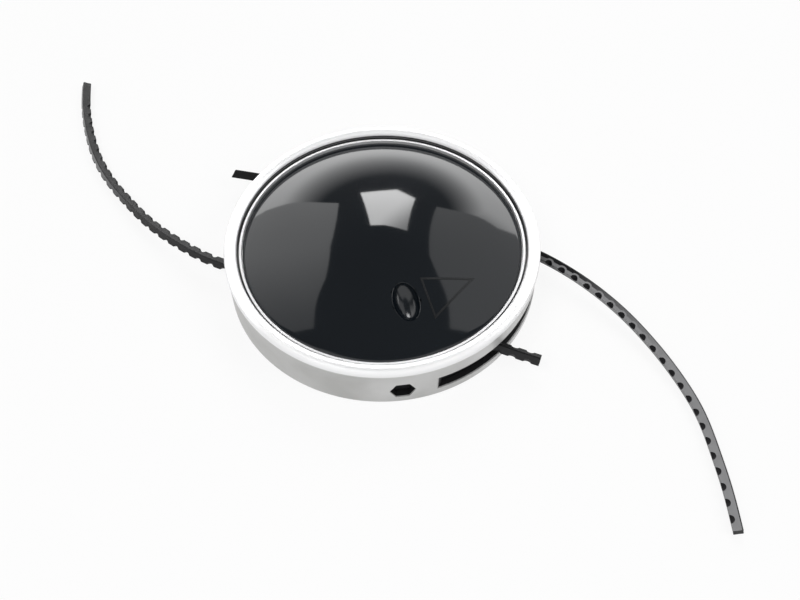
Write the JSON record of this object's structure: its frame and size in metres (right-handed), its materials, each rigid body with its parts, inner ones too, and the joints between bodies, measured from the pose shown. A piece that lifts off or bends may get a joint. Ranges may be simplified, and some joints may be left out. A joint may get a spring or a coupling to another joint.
{
  "type": "fixed line trimmer head",
  "caption": "Round metal trimmer head with a domed turn-lock cover, arc slots in its wall and notched cutting lines pushed straight through it.",
  "frame": {"origin": "on the spindle axis, at the centre of the base face that sits on the machine", "axes": "+Z along the spindle axis towards the domed cover; +X to the right as the picture shows it"},
  "size_m": [0.2493, 0.2063, 0.0276],
  "materials": {
    "polished_aluminium": "polished rim, satin wall",
    "turned_aluminium": "turned bright",
    "plate_steel": "zinc plated",
    "screw_steel": "black oxide",
    "insert_brass": "turned",
    "carrier_nylon": "moulded, satin",
    "spring_steel": "bright",
    "cover_gloss": "high gloss",
    "line_nylon": "extruded and notched"
  },
  "bodies": {
    "head": {"housing": "polished_aluminium", "seat_ring": "turned_aluminium", "arbor_plate": "plate_steel", "base_screws": "screw_steel", "screw_inserts": "insert_brass", "line_carrier": "carrier_nylon", "grip_plate_left": "spring_steel", "grip_plate_right": "spring_steel", "line_shoe_left": "carrier_nylon", "line_shoe_right": "carrier_nylon", "wave_spring": "spring_steel", "detent_ball_1": "spring_steel", "detent_ball_2": "spring_steel", "detent_ball_3": "spring_steel", "detent_spring_1": "spring_steel", "detent_spring_2": "spring_steel", "detent_spring_3": "spring_steel", "line_left": "line_nylon", "line_right": "line_nylon"},
    "turn_cover": {"lock_ring": "carrier_nylon", "cover": "cover_gloss"}
  },
  "joints": [
    {"name": "cover_turn", "type": "hinge", "parent": "head", "child": "turn_cover", "pos_m": [0, 0, 0.0145], "axis": [0, 0, 1], "range_deg": [0, 30]}
  ]
}
